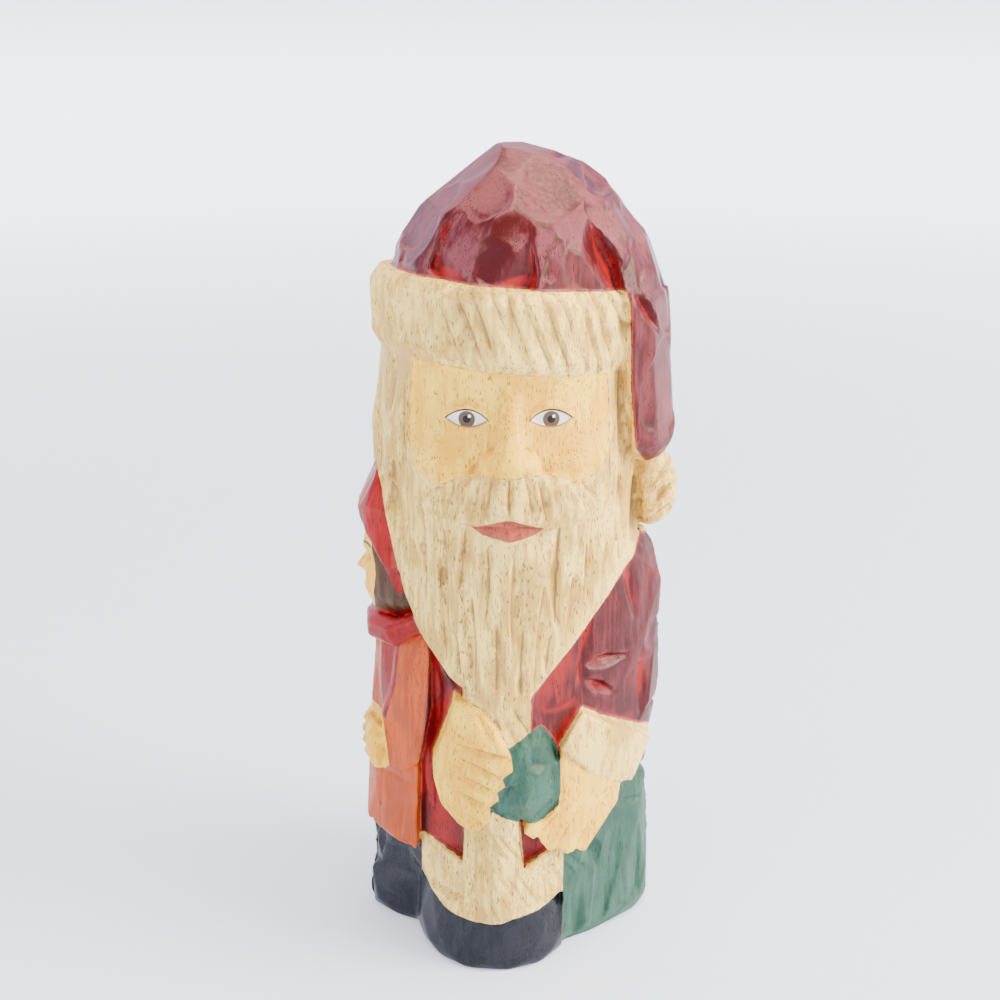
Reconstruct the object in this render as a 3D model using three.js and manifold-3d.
// A carved and painted wooden figurine, 150 mm tall: an old bearded man in a stocking cap who holds a
// sack, with a child standing at his side. It is carved from one square block that faces the viewer
// corner first, so its plan is a rounded diamond. Millimetres, +Z up, the viewer at -Y.
import * as THREE from 'three';
import { ConvexGeometry } from 'three/addons/geometries/ConvexGeometry.js';
import { mergeVertices } from 'three/addons/utils/BufferGeometryUtils.js';
import Module from 'manifold-3d';

const wasm = await Module();
wasm.setup();

// Driving dimensions
const HEIGHT = 149.6;
const BLOCK_LEFT = 28.2;
const BLOCK_RIGHT = 29.3;
const BLOCK_FRONT = 26;
const BLOCK_BACK = 26;
const BRIM_TILT = -0.085;
const BRIM_SAG = -0.06;
const BRIM_LOW = 115;
const BRIM_HIGH = 128.4;
const HEM_LOW = 10.2;
const HEM_HIGH = 21.8;
const EYE_LEVEL = 106.2;
const EYE_SPREAD = 7.1;
const KNIFE_LIFT = 0.8;
const FACET_BITE = 0.6;

// Solids from points, outlines and balls

function solidOf(geometry) {
  const bare = new THREE.BufferGeometry();
  bare.setAttribute('position', geometry.getAttribute('position').clone());
  if (geometry.index) bare.setIndex(geometry.index.clone());
  const welded = mergeVertices(bare, 1e-4);
  return new wasm.Manifold(new wasm.Mesh({
    numProp: 3,
    vertProperties: Float32Array.from(welded.getAttribute('position').array),
    triVerts: Uint32Array.from(welded.index.array),
  }));
}

function chunk(points) {
  return solidOf(new ConvexGeometry(points.map((point) => new THREE.Vector3(...point))));
}

function joined(solids) {
  return solids.reduce((whole, next) => whole.add(next));
}

function cut(solid, knives) {
  return knives.reduce((left, knife) => left.subtract(knife), solid);
}

// A front outline of [x, z] points pushed through the block from y = near to y = far.
function prism(outline, near = -45, far = 0) {
  const shape = new THREE.Shape(outline.map(([x, z]) => new THREE.Vector2(x, z)));
  const geometry = new THREE.ExtrudeGeometry(shape, { depth: far - near, bevelEnabled: false });
  geometry.rotateX(Math.PI / 2);
  geometry.translate(0, far, 0);
  return solidOf(geometry);
}

// The points of a coarse ball with three radii, as a whittled knob has them.
function ballPoints([x, y, z], [rx, ry, rz], bands = 3, sides = 8) {
  const points = [[x, y, z - rz], [x, y, z + rz]];
  for (let band = 1; band <= bands; band += 1) {
    const rise = Math.PI * (band / (bands + 1) - 0.5);
    for (let side = 0; side < sides; side += 1) {
      const turn = (2 * Math.PI * (side + 0.5 * (band % 2))) / sides;
      points.push([
        x + rx * Math.cos(rise) * Math.cos(turn),
        y + ry * Math.cos(rise) * Math.sin(turn),
        z + rz * Math.sin(rise),
      ]);
    }
  }
  return points;
}

function ball(centre, radii, bands, sides) {
  return chunk(ballPoints(centre, radii, bands, sides));
}

// A limb or roll through knots of [x, y, z, radius].
function limb(knots, bands = 2, sides = 6) {
  const knobs = knots.map(([x, y, z, r]) => ballPoints([x, y, z], [r, r, r], bands, sides));
  return joined(knobs.slice(1).map((knob, i) => chunk([...knobs[i], ...knob])));
}

// Masses: stacked plan sections of [z, left, right, front, back] reaches. The plan is a rounded
// diamond about the line x = spine, y = 0; a roundness of 2 would make it an ellipse.

function mass(roundness, spine, rings) {
  return { roundness, spine, rings };
}

function sectionAt(body, z) {
  const { rings } = body;
  const above = rings.findIndex((ring) => ring[0] >= z);
  if (above === 0) return rings[0];
  if (above < 0) return rings[rings.length - 1];
  const [low, high] = [rings[above - 1], rings[above]];
  const share = (z - low[0]) / (high[0] - low[0]);
  return low.map((value, i) => value + share * (high[i] - value));
}

function planPoint(body, [z, left, right, front, back], angle) {
  const [across, along] = [Math.cos(angle), Math.sin(angle)];
  const power = 2 / body.roundness;
  const reachX = across < 0 ? -(left + body.spine) : right - body.spine;
  const reachY = along < 0 ? -front : back;
  return [
    body.spine + reachX * Math.abs(across) ** power,
    reachY * Math.abs(along) ** power,
    z,
  ];
}

function massSolid(body, sides = 14) {
  const loops = body.rings.map((ring, level) => Array.from({ length: sides }, (_, i) => (
    planPoint(body, ring, (2 * Math.PI * (i + 0.25 + 0.5 * (level % 2))) / sides)
  )));
  return joined(loops.slice(1).map((loop, i) => chunk([...loops[i], ...loop])));
}

// Where the front of a mass is at [x, z].
function frontSkin(body) {
  return (x, z) => {
    const [, left, right, front] = sectionAt(body, z);
    const reach = x < body.spine ? left + body.spine : right - body.spine;
    const share = Math.min(Math.abs(x - body.spine) / reach, 0.985);
    const y = -front * (1 - share ** body.roundness) ** (1 / body.roundness);
    return new THREE.Vector3(x, y, z);
  };
}

// Where the side of a mass is at [angle, z]: 0 degrees is +X, 90 the back, 180 -X, 270 the front.
function roundSkin(body) {
  return (degrees, z) => (
    new THREE.Vector3(...planPoint(body, sectionAt(body, z), THREE.MathUtils.degToRad(degrees)))
  );
}

// A raised patch: the part of a mass that an outline takes in.
function raised(outline, body, { far = 0, sides = 14, knives = [] } = {}) {
  return cut(prism(outline, -45, far).intersect(massSolid(body, sides)), knives);
}

// A V-shaped knife cut along a skin, from one place on it to another. It is deepest at the middle.
// Bow bends it sideways, lean makes one wall steep, start and open are its size at the two ends.
function groove(skin, from, to, width, depth, options = {}) {
  const { bow = 0, lean = 0, steps = 2, start = 0.3, open = 0.3 } = options;
  const sections = [];
  const place = (t) => skin(from[0] + t * (to[0] - from[0]), from[1] + t * (to[1] - from[1]));
  for (let step = 0; step <= steps; step += 1) {
    const t = step / steps;
    const centre = place(t);
    const along = place(t + 0.02).sub(place(t - 0.02)).normalize();
    const out = new THREE.Vector3(centre.x, centre.y, 0).normalize();
    const side = new THREE.Vector3().crossVectors(out, along).normalize();
    const up = new THREE.Vector3().crossVectors(along, side).normalize();
    const size = Math.max(Math.sin(Math.PI * t), start * (1 - t), open * t);
    const half = (width / 2) * (size + KNIFE_LIFT / depth);
    centre.addScaledVector(side, bow * Math.sin(Math.PI * t));
    const at = (sideways, height) => (
      centre.clone().addScaledVector(side, sideways).addScaledVector(up, height).toArray()
    );
    sections.push([
      at(-half, KNIFE_LIFT),
      at(half, KNIFE_LIFT),
      at(lean * half, -depth * size),
      at(0, 1.6 * KNIFE_LIFT),
    ]);
  }
  return joined(sections.slice(1).map((section, i) => chunk([...sections[i], ...section])));
}

function grooves(skin, strokes) {
  return strokes.map(([from, to, width, depth, options]) => (
    groove(skin, from, to, width, depth, options)
  ));
}

// The big masses

const COAT = mass(1.35, -1, [
  [9, 22, 23, 21, 23],
  [24, 25.5, 26, 22.4, 25],
  [60, 25.5, 26.5, 22.4, BLOCK_BACK],
  [73, 25, 27.5, 22, 25],
  [80, 20.5, 25, 19, 20],
  [87, 15, 18, 15, 14],
]);

const ARM = mass(1.3, 0, [
  [31, 20, 25.5, 23, 10],
  [38, 20, 27.4, 24, 13],
  [46, 20, BLOCK_RIGHT, 24.6, 15],
  [70, 20, BLOCK_RIGHT, 24.6, 16],
  [77, 20, 27.6, 22.5, 15],
  [81, 20, 25, 19.5, 12],
]);

const HEART = mass(1.5, 0, [
  [0.5, 16, 12, 19, 17],
  [12, 18, 18, 19, 19],
  [50, 19, 22, 19.5, 20],
  [66, 20, 22, 19.5, 20],
  [80, 16, 19, 19, 14],
  [96, 19, 20, 18.5, 19],
  [128, 18, 22, 19, 19],
  [138, 12, 18, 16, 14],
  [145, 5, 10, 8, 8],
]);

const HEAD = mass(1.8, 0, [
  [54, 23.5, 22.5, 24.2, 0.5],
  [62, 24.5, 23.5, 24.8, 0.5],
  [78, 24.6, 24.6, 25.3, 8],
  [84, 24.6, 24, 25.6, 20],
  [100, 25, 23.5, 25.4, 24],
  [118, 22.6, 22, 24.6, 23.5],
]);

const FACE = mass(1.8, 0, [
  [84, 22, 22, 22.6, 5],
  [97, 24.5, 24.5, 23.4, 5],
  [109, 24.5, 24.5, 22.9, 5],
  [119, 24, 24, 23.4, 5],
]);

const CROWN = mass(1.75, 0, [
  [120, 21.4, 24.6, 24.6, 23.4],
  [129, 21.3, 25.6, 24.6, 23.4],
  [134, 19.4, 24.6, 23.6, 22.2],
  [138.6, 16.4, 22.2, 20.6, 19.4],
  [142.4, 12.6, 19, 16.6, 15.6],
  [146, 8, 14, 11.4, 10.6],
  [149, 4.2, 9, 6.4, 6],
  [HEIGHT + FACET_BITE, 0.8, 5.4, 2.4, 2.4],
]);

const SACK = mass(1.3, 0, [
  [0, 10, 27.4, 19.6, 19],
  [3, 10, 28.6, 22, 20.4],
  [20, 10, 28.4, 22.6, 21],
  [30, 10, 27.2, 20.6, 18],
  [36, 10, 27.4, 19, 14],
]);

const BOOTS = mass(2.3, -2.2, [
  [0, 18, 13.4, 24.6, 22],
  [2, 18.6, 14, 25.2, 22.4],
  [5.5, 18.4, 13.8, 24.6, 22],
  [13, 17.6, 13, 22.8, 21],
]);

const HEM = mass(1.3, -1.5, [
  [9, 20.5, 20.5, 25, 23.2],
  [12, 22.5, 22.5, 25.6, 24.6],
  [20, 23.2, 23.2, BLOCK_FRONT, 25.4],
  [23.5, 22.6, 22.6, 25, 24.4],
]);

const CHILD = mass(1.35, 0, [
  [18, BLOCK_LEFT, 5, 25, 20],
  [28, 27.7, 5, 25.4, 20],
  [47, 26.4, 5, 25.6, 20],
  [60, 25.2, 5, 25, 19],
  [67, 22.6, 5, 22.5, 16],
]);

const CHILD_LEGS = mass(1.5, 0, [
  [0, 27.2, 5, 13.6, 12.5],
  [2, 27.9, 5, 14.8, 13.5],
  [8.5, 27.6, 5, 14.6, 13.5],
  [10.5, 26.6, 5, 13.8, 12.8],
  [20, 27, 5, 16, 14],
]);

// The cap: crown with knife facets, folds, brim, tail and ball

const BRIM_PLAN = mass(1.75, 0, []);

const brimLevel = (x, y, share) => (
  BRIM_LOW + share * (BRIM_HIGH - BRIM_LOW) + BRIM_TILT * x + BRIM_SAG * (y + BLOCK_FRONT)
);

// The crown is a dome that the knife left in flat facets: each plane touches the dome and bites in.
function crown() {
  const dome = CROWN.rings.flatMap((ring) => Array.from({ length: 40 }, (_, i) => (
    new THREE.Vector3(...planPoint(CROWN, ring, (2 * Math.PI * i) / 40))
  )));
  let body = chunk(dome.map((point) => [point.x * 1.1, point.y * 1.1, point.z + 1]));
  const facetRows = [[2, 12], [18, 12], [34, 10], [50, 8], [65, 6], [80, 4]];
  facetRows.forEach(([rise, count], row) => {
    for (let i = 0; i < count; i += 1) {
      const sway = Math.sin(7.3 * i + 2.9 * row);
      const turn = 270 + (360 * (i + 0.5 * (row % 2) + 0.12 * sway)) / count;
      const lift = rise + 3 * Math.sin(5.1 * i + row);
      const out = new THREE.Vector3().setFromSphericalCoords(
        1,
        THREE.MathUtils.degToRad(90 - lift),
        THREE.MathUtils.degToRad(turn),
      );
      const normal = new THREE.Vector3(out.z, out.x, out.y);
      const reach = Math.max(...dome.map((point) => point.dot(normal))) - FACET_BITE - 0.25 * sway;
      body = body.trimByPlane(normal.negate().toArray(), -reach);
    }
  });
  const folds = grooves(frontSkin(CROWN), [
    [[-5.8, 141.4], [-11.4, 129], 7, 3.6, { bow: -1, lean: -0.8, start: 0, open: 0.9, steps: 3 }],
    [[2.4, 137.4], [-1, 127.6], 7.6, 2.6, { lean: 0.7, start: 0, open: 1 }],
    [[12.6, 140], [19.4, 126], 8.4, 3.6, { bow: -1.2, lean: 0.8, start: 0, open: 0.6, steps: 3 }],
    [[-15.5, 137], [-18.5, 130], 3.4, 1.1, { lean: -0.6, start: 0, open: 1 }],
    [[9, 137], [7.4, 129.5], 3, 0.9, { lean: -0.5, start: 0, open: 1 }],
  ]);
  const foldsBehind = grooves(roundSkin(CROWN), [60, 88, 112, 146].map((angle, i) => (
    [[angle, 141 - i], [angle + 10, 130], 6, 2.2, { lean: 0.7, start: 0, open: 1 }]
  )));
  return cut(body.trimByPlane([0, 0, -1], -HEIGHT), [...folds, ...foldsBehind]);
}

// One plan section of the tail, which hangs over the right-hand corner of the block.
function tailSection(z, inner, outer, swell) {
  const ridge = inner + 0.5 * (outer - inner);
  return [
    [inner, -15.4 * swell, z],
    [ridge, -12.6 * swell, z],
    [outer - 0.8, -6 * swell, z],
    [outer, 1, z],
    [outer - 1.6, 8 * swell, z],
    [ridge - 1, 14 * swell, z],
    [inner - 2, 12 * swell, z],
    [inner - 6, -4, z],
  ];
}

function tail() {
  const sections = [
    tailSection(140, 13, 20.6, 0.5),
    tailSection(134, 17.4, 25.4, 0.8),
    tailSection(124, 20.6, 28.6, 1),
    tailSection(110, 21.2, 29.9, 0.93),
    tailSection(98.4, 22.4, 30.8, 0.86),
    tailSection(94.8, 24.6, 28.8, 0.55),
  ];
  const body = joined(sections.slice(1).map((section, i) => chunk([...sections[i], ...section])));
  const skin = (x, z) => new THREE.Vector3(x, -14.4 + 0.62 * (x - 22), z);
  return cut(body, grooves(skin, [
    [[20.6, 127.4], [27, 117.6], 3.4, 2.6, { lean: 0.6, steps: 3 }],
    [[23.2, 121], [23.4, 104], 3, 1.5, { lean: -0.5, steps: 3 }],
    [[22, 105.4], [28.4, 104.4], 2.2, 1, { lean: 0.7 }],
    [[25.6, 102.4], [27.2, 96], 2.6, 0.8, { lean: -0.6 }],
  ]));
}

function brim() {
  const levels = [[-0.03, -1.6], [0.16, 0.2], [0.84, 0.2], [1.02, -1.5]];
  const sides = 16;
  const points = levels.flatMap(([share, swell]) => Array.from({ length: sides }, (_, i) => {
    const ring = [0, 24.7 + swell, 23.8 + swell, 27.2 + swell, 25.4 + swell];
    const [x, y] = planPoint(BRIM_PLAN, ring, (2 * Math.PI * (i + 0.5)) / sides);
    return [x, y, brimLevel(x, y, share)];
  }));
  const skin = (degrees, share) => {
    const ring = [0, 25, 24.1, 27.5, 25.7];
    const [x, y] = planPoint(BRIM_PLAN, ring, THREE.MathUtils.degToRad(degrees));
    return new THREE.Vector3(x, y, brimLevel(x, y, share));
  };
  const strokes = [];
  for (let turn = 0; turn < 21; turn += 1) {
    const angle = 22 + turn * 15.4;
    const short = turn % 4 === 1 ? 0.3 : 0;
    strokes.push([
      [angle, 1.02 - (turn % 3) * 0.07],
      [angle + 13, 0.04 + short + (turn % 2) * 0.06],
      2.6, 1.3, { lean: -0.6, start: 0.5, open: 0.5 },
    ]);
  }
  return cut(chunk(points), grooves(skin, strokes));
}

function pompom() {
  const body = ball([26.3, -1, 88.4], [5, 8.8, 8], 4, 10);
  const skin = (x, z) => new THREE.Vector3(x, -9.2 + 0.9 * Math.abs(x - 25.4), z);
  return cut(body, grooves(skin, [
    [[22.4, 86.4], [29.6, 89.8], 1.6, 0.9, { bow: 0.7 }],
    [[23, 82.6], [29.8, 85.6], 1.6, 0.9, { bow: 0.7 }],
  ]));
}

// The head: hair, face, moustache and beard

const FACE_OPENING = [
  [-16, 119], [-17, 110], [-17.3, 102], [-16, 96], [-12.5, 91.5],
  [12.5, 91.5], [16, 96], [17.3, 102], [17, 110], [16, 119],
];

function hair() {
  const openings = [prism(FACE_OPENING, -45, -6), prism(BEARD_OUTLINE, -45, -2)];
  const front = grooves(frontSkin(HEAD), [
    [[-19.2, 114.6], [-21.4, 103], 2.4, 1.6, { steps: 2 }],
    [[-18, 111], [-19.4, 92], 1.8, 1.1, { bow: 0.8, steps: 3 }],
    [[-22.4, 109], [-22.6, 90], 2, 1.1, { bow: -0.6, steps: 3 }],
    [[18.9, 113], [19.6, 94], 1.8, 1.2, { bow: -0.7, steps: 3 }],
    [[20.9, 110], [21.4, 86], 2, 1.2, { bow: 0.5, steps: 3 }],
    [[16.5, 94.4], [19.4, 81], 1.9, 1.1, {}],
    [[19.6, 95], [21.6, 79], 1.7, 1, { bow: 0.5 }],
  ]);
  const back = [];
  for (let angle = 18; angle < 172; angle += 21) {
    const sway = angle % 2 ? 5 : -3;
    back.push([[angle, 113 - (angle % 3) * 2], [angle + sway, 84 + (angle % 4)], 3, 1.6, {}]);
  }
  const lowered = massSolid(HEAD, 14).trimByPlane([0, 0, 1], 76);
  return cut(lowered, [...openings, ...front, ...grooves(roundSkin(HEAD), back)]);
}

function eye(side) {
  const x = side * EYE_SPREAD;
  const opening = [
    [x - 3.5, EYE_LEVEL - 0.1], [x - 1.8, EYE_LEVEL + 1.5], [x + 0.2, EYE_LEVEL + 1.9],
    [x + 2.2, EYE_LEVEL + 1.3], [x + 3.6, EYE_LEVEL], [x + 1.9, EYE_LEVEL - 1.2],
    [x, EYE_LEVEL - 1.5], [x - 2, EYE_LEVEL - 1.2],
  ];
  const lids = ball([x, -17.9, EYE_LEVEL], [4.5, 4.5, 3.9], 3, 8);
  const eyeball = ball([x, -17.9, EYE_LEVEL], [3.9, 3.7, 3.5], 2, 8);
  return cut(lids, [prism(opening, -45, -17)]).add(eyeball);
}

function face() {
  const opened = FACE_OPENING.map(([x, z]) => [x * 1.04, z]);
  const sockets = [-1, 1].map((side) => (
    ball([side * EYE_SPREAD, -24.9, EYE_LEVEL + 0.5], [5.6, 4.4, 4.2], 3, 8)
  ));
  const mask = cut(raised(opened, FACE, { sides: 16 }), sockets);
  const nose = joined([
    limb([[0, -21.6, 111, 1.9], [0, -23.2, 106, 2.1], [0, -24.9, 100.6, 3]]),
    ball([0, -25, 99.8], [3.6, 3, 2.9], 3, 10),
    ...[-1, 1].map((side) => ball([side * 3.3, -23.4, 98.9], [2.2, 2.4, 2.1], 2, 6)),
  ]);
  const cheeks = [-1, 1].map((side) => (
    ball([side * 9.4, -14.2, 97.6], [8.8, 8.4, 8], 3, 10)
  ));
  const brows = [-1, 1].map((side) => limb([
    [side * 3.4, -21.6, 112.4, 1.4], [side * 8, -20.4, 112.6, 1.5], [side * 13, -17.4, 110.4, 1.2],
  ]));
  return joined([mask, nose, ...cheeks, ...brows, eye(-1), eye(1)]);
}

const MOUSTACHE_OUTLINE = [
  [-14.8, 91.4], [-12.8, 94], [-9.4, 96], [-5.5, 97.4], [0, 96.8], [5.5, 97.2], [9.4, 96.2],
  [13.2, 94.4], [16, 91.6], [14.6, 88.9], [10.6, 87.5], [6, 88], [0, 90], [-5.5, 88.4],
  [-9.8, 89.2], [-12.8, 89.4],
];

function moustache() {
  const body = mass(1.9, 0, [
    [86, 25, 25, 26, 5], [89, 26, 26, 27, 5], [94, 26, 26, 27.2, 5], [99, 25, 25, 25.2, 5],
  ]);
  const strokes = [[[0, 97.6], [0.1, 88.8], 1.7, 1.4, {}]];
  for (const side of [-1, 1]) {
    for (let lock = 1; lock <= 5; lock += 1) {
      const start = 1.2 + lock * 2.05;
      const drop = 0.16 * lock;
      strokes.push([
        [side * start, 96 - drop * 0.8], [side * (start + 0.5 * lock + 0.7), 89 + drop],
        1.6, 1, { bow: side * 0.4 },
      ]);
    }
  }
  const knives = grooves(frontSkin(body), strokes);
  return raised(MOUSTACHE_OUTLINE, body, { far: -8, knives });
}

const BEARD_OUTLINE = [
  [-24.6, 97], [-22.4, 90], [-20.8, 82], [-18.6, 72], [-15, 64.4], [-10.5, 58.4], [-5.6, 55],
  [-1, 53.6], [3.6, 55.6], [9, 61.6], [14.4, 68], [19, 73], [22.8, 77], [24.4, 80.6], [23.8, 97],
  [12.5, 97], [-12.5, 97],
];

function beard() {
  const knives = grooves(frontSkin(HEAD), [
    [[-11.2, 87], [-10.8, 68.6], 2.2, 1.2, { lean: -0.7 }],
    [[-7.6, 88], [-8.8, 76.6], 1.9, 1, { lean: 0.7 }],
    [[-3.4, 85], [-4, 70], 2, 1.2, { lean: -0.7 }],
    [[0.9, 85], [0.4, 61.6], 2.2, 1.4, { lean: 0.7 }],
    [[-6.4, 74], [-5.8, 57], 2, 1.1, { lean: -0.7 }],
    [[6, 76.4], [4.6, 56.6], 2, 1.2, { lean: 0.7 }],
    [[9, 87.4], [8.4, 70], 2, 1.2, { lean: -0.7 }],
    [[14.2, 90], [13.4, 72], 2, 1.2, { lean: 0.7 }],
    [[11.4, 77], [10.2, 65.4], 1.8, 1, { lean: 0.7 }],
    [[-15, 89], [-14.6, 74], 2, 1.1, { lean: -0.7 }],
    [[-18.4, 94], [-17.8, 78], 2, 1.1, { lean: -0.7 }],
    [[-2.2, 69], [-2.4, 58], 1.7, 0.9, { lean: 0.7 }],
    [[17.6, 86], [16.6, 74], 1.9, 1, { lean: 0.7 }],
  ]);
  const body = raised(BEARD_OUTLINE, HEAD, { far: -2 });
  const lips = joined([
    limb([[-7, -23.4, 88.7, 0.8], [0, -25, 88.2, 1.4], [7, -23.4, 88.7, 0.8]], 2, 8),
    limb([[-6, -23.6, 88, 0.8], [0, -25.3, 86.9, 1.4], [6, -23.6, 88, 0.8]], 2, 8),
  ]);
  return cut(body, knives).add(lips);
}

// The coat: body, trim, hem, sleeve and cuff

function coat() {
  const front = grooves(frontSkin(COAT), [
    [[-15.6, 66], [-6.4, 52.4], 2.2, 1.3, { bow: -0.6, steps: 3 }],
    [[-13.4, 61], [-12.6, 47], 2.2, 1.3, { bow: 0.4 }],
    [[-14.6, 44], [-13.6, 26], 2.6, 1.2, { lean: -0.4 }],
    [[-12, 31], [-9.4, 22], 1.8, 0.8, {}],
  ]);
  const back = [];
  for (let fold = 0; fold < 4; fold += 1) {
    back.push([[54 + fold * 24, 62 - (fold % 2) * 12], [50 + fold * 25, 24], 3.6, 1.5, {}]);
  }
  const collar = [[72, 79], [92, 80], [112, 79]].map(([angle, z]) => (
    [[angle, z], [angle + (angle - 92) * 0.2, 66], 3, 1.2, {}]
  ));
  return cut(massSolid(COAT), [...front, ...grooves(roundSkin(COAT), [...back, ...collar])]);
}

function trim() {
  const band = mass(1.3, -1, [
    [20, 23, 23, BLOCK_FRONT, 5], [40, 24, 24, BLOCK_FRONT, 5], [57, 24, 24, 25, 5],
  ]);
  const outline = [
    [-8.4, 20], [-7.6, 31], [-8, 56], [3.8, 57], [3.6, 47], [1.4, 44], [1.8, 31], [2.7, 20],
  ];
  const knives = grooves(frontSkin(band), [
    [[-3.6, 53], [0.4, 48.6], 1.2, 0.9, {}],
    [[0.2, 54], [3.4, 49.8], 1.1, 0.8, {}],
    [[-2.2, 49.6], [0.6, 46], 1.1, 0.8, {}],
    [[-5.6, 29], [1.4, 22], 1.3, 0.9, {}],
    [[-6.8, 25.4], [-2.4, 20.6], 1.2, 0.8, {}],
    [[-2.4, 30], [1.4, 26], 1.2, 0.8, {}],
  ]);
  return raised(outline, band, { far: -10, knives });
}

function hem() {
  const outline = [
    [-24, 18.6], [-15.8, 22.9], [-8.4, 21], [-3, 23], [2.8, 21], [8.6, 23.2], [24, 22.4],
    [24, 17.5], [11, 12.8], [5.6, 10.9], [0.6, 10.6], [-3.4, 9.6], [-7, 9.7], [-12, 10.6],
    [-18.6, 14.6], [-24, 15],
  ];
  const frontStrokes = [];
  for (let i = 0; i < 8; i += 1) {
    const x = -16.5 + i * 3.7;
    const top = 21.2 - Math.abs(x) * 0.05;
    const slope = 3.4 + (i % 3) * 0.5;
    frontStrokes.push([[x, top - (i % 2) * 2], [x + slope, top - 7.4 - (i % 2) * 1.2], 1.2, 0.9, {}]);
  }
  const front = raised(outline, HEM, { knives: grooves(frontSkin(HEM), frontStrokes) });
  const backStrokes = [];
  for (let angle = 46; angle < 140; angle += 18) {
    backStrokes.push([[angle, HEM_HIGH - 1], [angle + 6, HEM_LOW + 2.4], 1.9, 1, {}]);
  }
  const band = massSolid(HEM).trimByPlane([0, 1, 0], -4);
  return front.add(cut(band, grooves(roundSkin(HEM), backStrokes)));
}

function sleeve() {
  const outline = [
    [20, 76], [22.6, 81], [32, 81], [32, 30], [24, 34], [13, 49], [8.8, 42.4], [3.5, 46.6],
    [3.5, 58], [13, 70],
  ];
  const knives = grooves(frontSkin(ARM), [
    [[15.6, 70.5], [13.4, 51.6], 4.4, 1.8, { lean: -0.35, steps: 3 }],
    [[13.6, 58.4], [22.6, 57.6], 3.2, 2.6, { lean: 0.5 }],
    [[13.8, 55.8], [20.4, 50.4], 3.2, 2.4, { lean: 0.5 }],
    [[9.6, 61.5], [9.4, 51], 2, 0.8, {}],
    [[20.8, 76.6], [23.6, 64], 3.4, 1, { lean: 0.4 }],
    [[24.4, 58], [25, 44], 3, 0.9, { lean: 0.4 }],
  ]);
  const notches = grooves(roundSkin(ARM), [
    [[-24, 62.4], [26, 61.2], 2.4, 1, { steps: 3 }],
    [[-20, 44.6], [24, 45.4], 2.6, 1.3, { steps: 3 }],
    [[12, 74], [18, 48], 3.4, 1.2, {}],
  ]);
  return raised(outline, ARM, { far: 18, knives: [...knives, ...notches] });
}

// The cuff is a slanted band round the wrist; u runs down the arm and v across it.
function cuff() {
  const outline = [
    [13.4, 50.8], [9.4, 44.8], [14.8, 38.8], [20.6, 33.4], [23.6, 31], [27.4, 37.6], [26.4, 39.6],
    [19.6, 45.8],
  ];
  const body = mass(1.45, 0, [
    [29, 20, 27.6, 25, 8], [36, 20, 28.8, 26.4, 8], [45, 20, 29.4, 26.8, 8], [52, 20, 28.4, 25.4, 8],
  ]);
  const knives = grooves(frontSkin(body), [
    [[15.4, 47.4], [12.6, 43.6], 0.9, 0.5, {}],
    [[23.4, 40.6], [20.6, 35.4], 0.9, 0.5, {}],
  ]);
  return raised(outline, body, { far: 1, knives });
}

// The hands

function leftHand() {
  const outline = [
    [-9.6, 54.4], [-11, 49], [-13.8, 41], [-13.8, 37.6], [-12.4, 32.4], [-9, 29.2], [-6.4, 28.4],
    [-4.4, 30.4], [-3.2, 33], [-3.5, 34.8], [-1.9, 36.4], [-2.3, 38.1], [-0.8, 39.6], [-1.3, 41.2],
    [0.6, 43], [0.3, 45.2], [-2, 50.6], [-5, 53.4],
  ];
  const body = mass(1.5, -1, [
    [26, 24, 24, 24.8, 5], [34, 25.6, 25.4, 26.4, 5], [48, 25.6, 25.4, 26.8, 5], [56, 24, 24, 24.8, 5],
  ]);
  const knives = grooves(frontSkin(body), [
    [[-10, 46.4], [0.4, 45.2], 1.5, 1.2, {}],
    [[-10, 44], [-0.8, 41], 1.5, 1.1, {}],
    [[-10.4, 40.6], [-1.8, 38], 1.5, 1.1, {}],
    [[-10.4, 36.8], [-3, 34.7], 1.5, 1.1, {}],
    [[-9, 32.6], [-4.2, 30.6], 1.4, 0.8, {}],
  ]);
  const back = raised(outline, body, { far: -8, knives });
  const thumb = limb([[-8.6, -19.8, 52.2, 2], [-5.2, -23, 50.6, 2.6], [-2.6, -24.6, 47.8, 2.4]]);
  return back.add(thumb);
}

function rightHand() {
  const outline = [
    [9.4, 44.8], [9.8, 38], [9.4, 33.6], [6.6, 31], [3.4, 30.6], [2.8, 29.4], [4.4, 27.6], [5.4, 27.4],
    [7.4, 24], [9, 24], [10.8, 21.8], [12.6, 21.9], [15, 20.6], [19, 25.4], [20.8, 28.6], [21.4, 33],
    [15, 40],
  ];
  const body = mass(1.5, 0, [
    [18, 24, 25, 24.4, 5], [28, 25, 26.4, 26, 5], [38, 25.5, 27, 26.4, 5], [46, 25, 27, 25.4, 5],
  ]);
  const knives = grooves(frontSkin(body), [
    [[10.8, 33.6], [4.8, 27.2], 1.5, 1.1, {}],
    [[14, 32.4], [8.6, 23.8], 1.6, 1.2, {}],
    [[17.2, 30.4], [12.4, 21.6], 1.6, 1.1, {}],
    [[10.2, 40], [13.4, 37.4], 1.4, 0.8, {}],
  ]);
  return raised(outline, body, { far: -5, knives });
}

// The sack: gathered neck between the hands, and the full bag on the right-hand corner

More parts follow.
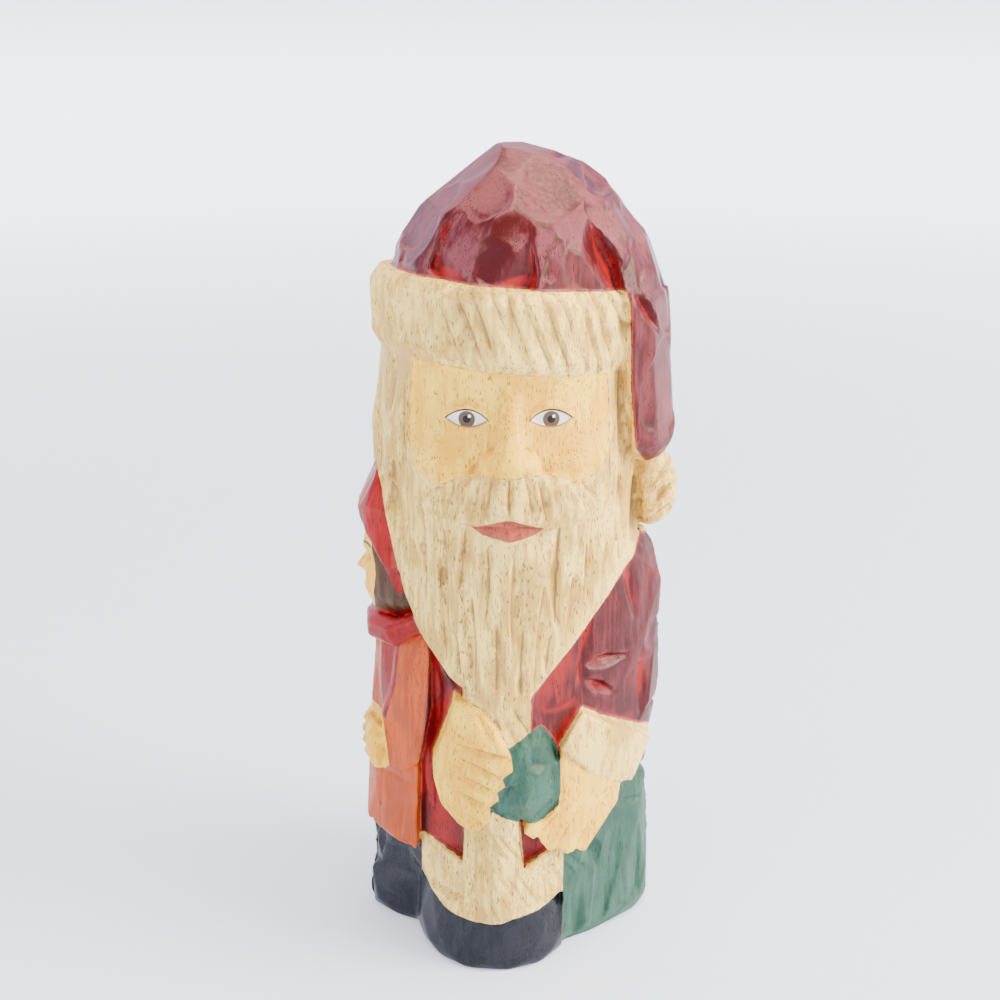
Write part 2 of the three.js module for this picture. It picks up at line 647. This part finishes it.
function sackNeck() {
  const outline = [
    [3.2, 48], [5.8, 49.4], [7.8, 46.2], [9.2, 41.8], [10, 36.4], [9.4, 32.8], [7.4, 31.2], [4, 30.8],
    [-0.6, 33.2], [-3, 34.2], [-1.2, 40], [0, 46.2],
  ];
  const body = mass(1.8, 1.6, [
    [29, 12, 15, 23.4, 5], [36, 12, 16, 27.4, 5], [42, 12, 16, 27.4, 5], [51, 12, 15, 23.6, 5],
  ]);
  const knives = grooves(frontSkin(body), [
    [[0.6, 44.2], [8.6, 42], 2.4, 1.4, { lean: 0.5 }],
    [[3, 42.4], [-1.4, 33.4], 3.2, 1.8, { lean: -0.5 }],
    [[6.6, 40.6], [5.6, 32], 2.4, 1.1, { lean: 0.4 }],
  ]);
  return raised(outline, body, { far: -8, knives });
}

function sackBag() {
  const outline = [[10.4, -1], [10.4, 24], [14, 33], [32, 40], [32, -1]];
  const knives = grooves(frontSkin(SACK), [
    [[19.6, 25.8], [26.6, 24.2], 3.4, 2.2, { lean: 0.5 }],
    [[14.4, 22.6], [17.8, 12.6], 5, 2, { lean: 0.7, open: 0 }],
    [[21, 23.6], [17.2, 1], 6, 1.4, { lean: -0.5 }],
    [[13.2, 14], [12.8, 1], 4, 1, { lean: 0.3 }],
    [[25, 20], [25, 2], 4, 1, { lean: -0.3 }],
  ]);
  const notches = [
    chunk([[19.6, -22, -1], [22.4, -22, -1], [20.8, -22, 3.4], [19.6, -9.6, -1], [20.6, -9.6, -1],
      [20.1, -9.6, 1.6]]),
    ...grooves(roundSkin(SACK), [
      [[-26, 30.6], [30, 31.4], 3, 1.4, { steps: 3 }],
      [[16, 27], [20, 3], 3.4, 1.3, {}],
      [[40, 25], [42, 2], 3.4, 1.3, {}],
    ]),
  ];
  return raised(outline, SACK, { far: 24, knives: [...knives, ...notches] });
}

// The boots, with a seam between them and a welt line round the toes

function boots() {
  const seam = chunk([
    [-2.9, -30, -1], [-1.5, -30, -1], [-2.2, -23.6, -1],
    [-2.8, -30, 12], [-1.6, -30, 12], [-2.2, -22.4, 12],
  ]);
  const toeNotch = chunk([[-4.4, -30, -1], [0, -30, -1], [-2.2, -22.6, -1], [-2.2, -30, 3]]);
  const welt = [];
  for (const [from, to] of [[222, 262], [276, 318]]) {
    welt.push([[from, 3.4], [to, 3.4], 1, 0.6, { steps: 3 }]);
  }
  const heels = chunk([
    [-4, 30, -1], [-0.4, 30, -1], [-2.2, 15, -1], [-4, 30, 12], [-0.4, 30, 12], [-2.2, 15, 12],
  ]);
  return cut(massSolid(BOOTS, 16), [seam, toeNotch, heels, ...grooves(roundSkin(BOOTS), welt)]);
}

// The child, who faces left: cap, head, scarf, coat, arms and legs

function childHead() {
  const profile = [
    [-25.4, 84], [-26.6, 80], [-26.7, 77.6], [-26, 76], [-26.4, 73], [-26.2, 70], [-26.4, 66.4],
    [-25, 64.4], [-21, 63], [-15, 62], [-15, 84],
  ];
  const skull = prism(profile, -14, 10).intersect(ball([-18.6, -2.2, 74], [9, 8.8, 14.5], 4, 12));
  const nose = chunk([
    [-25.6, -2.2, 77], [-26, -3.8, 72.4], [-26, -0.6, 72.4], [-28.3, -2.7, 73], [-28.3, -1.7, 73],
    [-25.8, -2.2, 71.4],
  ]);
  const lips = chunk([
    [-25.6, -5, 69], [-26.9, -2.9, 69.8], [-26.9, -1.5, 69.8], [-25.6, 0.6, 69], [-26.8, -2.2, 68],
    [-25, -2.2, 66.8], [-25, -2.2, 70.6],
  ]);
  const eyes = [-1, 1].map((side) => ball([-25.9, -2.2 + side * 3.7, 76], [1.5, 1.9, 1.2], 2, 6));
  return joined([cut(skull, eyes), nose, lips]);
}

function childHair() {
  const outline = [[-22.4, 77], [-22.6, 70], [-21.6, 66.8], [-19, 65.6], [-14, 67], [-14, 79]];
  const locks = prism(outline, -20, 14).intersect(ball([-17.6, -2.2, 71], [7.4, 10.6, 9], 4, 12));
  const fringe = limb([[-25.4, -6, 82, 1.1], [-26.6, -2.2, 82.6, 1.1], [-25.4, 1.6, 82, 1.1]], 1, 6);
  const skin = (x, z) => new THREE.Vector3(x, -11.8, z);
  return cut(locks, grooves(skin, [[[-19.8, 75], [-18.6, 65.6], 1.4, 1, {}]])).add(fringe);
}

function childCap() {
  const outline = [
    [-14, 96], [-22.6, 95], [-25.2, 92], [-27.4, 88], [-28, 85], [-26.9, 82.6], [-24.6, 79.6],
    [-22.2, 75.2], [-19.8, 70.8], [-18, 69], [-14, 70],
  ];
  const dome = ball([-18.4, -2.2, 81.4], [10, 11, 15.4], 4, 12);
  const skin = (x, z) => new THREE.Vector3(x, -12.2 - 0.2 * (x + 20), z);
  return cut(prism(outline, -20, 12).intersect(dome), grooves(skin, [
    [[-23.4, 90], [-19.4, 74], 2, 0.9, { bow: 0.6 }],
    [[-25.6, 87.6], [-23, 79], 1.8, 0.8, {}],
  ]));
}

function childScarf() {
  const wrap = limb([
    [-16.2, -14.4, 66.2, 2.3], [-20.4, -12, 63.4, 2.9], [-23.8, -7.6, 62.8, 2.7], [-24.6, -2, 63.2, 2.3],
    [-22.6, 4, 63.4, 2.3], [-16.6, 9, 64.4, 2.4],
  ], 2, 8);
  const endOutline = [
    [-23.8, 62], [-24.2, 52], [-24, 47], [-22.6, 45.6], [-21.2, 48], [-21, 54], [-20, 62],
  ];
  const end = raised(endOutline, mass(1.35, 0, [[44, 27.4, 5, 26.2, 5], [62, 26.2, 5, 25.8, 5]]));
  const skin = (x, z) => new THREE.Vector3(x, -15 - 0.55 * (x + 20), z);
  return cut(joined([wrap, end]), grooves(skin, [
    [[-24.6, 64.4], [-20.6, 61.4], 1.4, 1, {}],
    [[-21.4, 65.6], [-17.6, 63.4], 1.4, 1, {}],
  ]));
}

function childCoat() {
  const outline = [
    [-30, 66.5], [-16, 66.5], [-14.4, 60], [-15.4, 52], [-16.6, 38], [-17.2, 19.4], [-30, 19.4],
  ];
  const knives = grooves(frontSkin(CHILD), [
    [[-24.8, 60], [-25.4, 33], 1.2, 0.7, { steps: 3 }],
    [[-26.6, 32.6], [-16.4, 33.4], 1.6, 1, { steps: 3 }],
    [[-19.6, 31], [-20.8, 20.5], 1.6, 0.7, { open: 0.9 }],
    [[-24, 31], [-25, 20.5], 1.4, 0.6, { open: 0.9 }],
  ]);
  const behind = grooves(roundSkin(CHILD), [
    [[150, 62], [146, 21], 2.4, 1, { steps: 3 }],
    [[166, 33], [138, 33], 1.6, 1, { steps: 3 }],
  ]);
  return raised(outline, CHILD, { far: 16, knives: [...knives, ...behind] });
}

function childArms() {
  const outline = [
    [-20.4, 62.4], [-21.4, 54], [-22.4, 49.4], [-24, 45], [-23.4, 39], [-22.8, 34.4],
    [-19.6, 35.6], [-16.4, 38.8], [-14.4, 50], [-14.2, 62], [-16.6, 65.6],
  ];
  const near = raised(outline, mass(1.35, 0, [
    [32, 28, 5, 26.6, 5], [40, 28, 5, 27, 5], [58, 26.6, 5, 26.8, 5], [66, 23.5, 5, 24, 5],
  ]));
  const far = limb([[-15.6, 9, 58, 3.4], [-19.4, 8.2, 42, 3.2], [-24.6, 4.4, 39, 2.4]], 3, 8);
  return near.add(far);
}

function childHands() {
  const palm = chunk([
    ...ballPoints([-25, -5.6, 38], [2.4, 3, 4.6], 2, 6),
    ...ballPoints([-25.2, 3.4, 38], [2.2, 2.6, 4.2], 2, 6),
  ]);
  const fingers = [];
  for (let finger = 0; finger < 4; finger += 1) {
    const z = 41.4 - finger * 2.35;
    const reach = finger === 0 || finger === 3 ? -26.9 : -27.3;
    fingers.push(limb([[-25, -6.4, z, 1.2], [reach, -1.6, z, 1.25], [reach + 0.9, 2.8, z, 1.2]], 1, 5));
  }
  return joined([palm, ...fingers]);
}

function childLegs() {
  const seam = chunk([
    [-31, -1.6, -1], [-31, 0.8, -1], [-23.6, -0.4, -1], [-31, -1.4, 21], [-31, 0.6, 21], [-24.4, -0.4, 21],
  ]);
  const outline = [[-31, -1], [-31, 20.5], [-15.4, 20.5], [-15.4, -1]];
  const creases = grooves(roundSkin(CHILD_LEGS), [
    [[224, 4.6], [196, 4.6], 1, 0.6, {}],
    [[226, 16.6], [200, 14.4], 1.4, 0.7, {}],
    [[164, 4.6], [140, 4.6], 1, 0.6, {}],
  ]);
  return raised(outline, CHILD_LEGS, { far: 14, knives: [seam, ...creases] });
}

// The whole figurine is one piece of wood

function figurine() {
  const whole = joined([
    massSolid(HEART), coat(), sleeve(), trim(), hem(), boots(),
    sackBag(), sackNeck(), leftHand(), rightHand(), cuff(),
    hair(), face(), beard(), moustache(), crown(), tail(), pompom(), brim(),
    childCoat(), childLegs(), childArms(), childHands(), childHead(), childHair(), childCap(), childScarf(),
  ]);
  const shells = whole.trimByPlane([0, 0, 1], 0).decompose();
  return shells.reduce((outer, shell) => (shell.volume() > outer.volume() ? shell : outer));
}

function meshOf(solid, name, material) {
  const { vertProperties, triVerts } = solid.getMesh();
  const geometry = new THREE.BufferGeometry();
  geometry.setAttribute('position', new THREE.BufferAttribute(vertProperties, 3));
  geometry.setIndex(new THREE.BufferAttribute(triVerts, 1));
  geometry.computeVertexNormals();
  const mesh = new THREE.Mesh(geometry, material);
  mesh.name = name;
  return mesh;
}

const paintedWood = new THREE.MeshStandardMaterial({ color: 0x8a2430, roughness: 0.45, metalness: 0 });
const group = new THREE.Group();
group.add(meshOf(figurine(), 'santa_figurine', paintedWood));

// The origin is under the middle of the figurine's box.
const box = new THREE.Box3().setFromObject(group);
group.position.set(-(box.min.x + box.max.x) / 2, -(box.min.y + box.max.y) / 2, 0);

export default group;
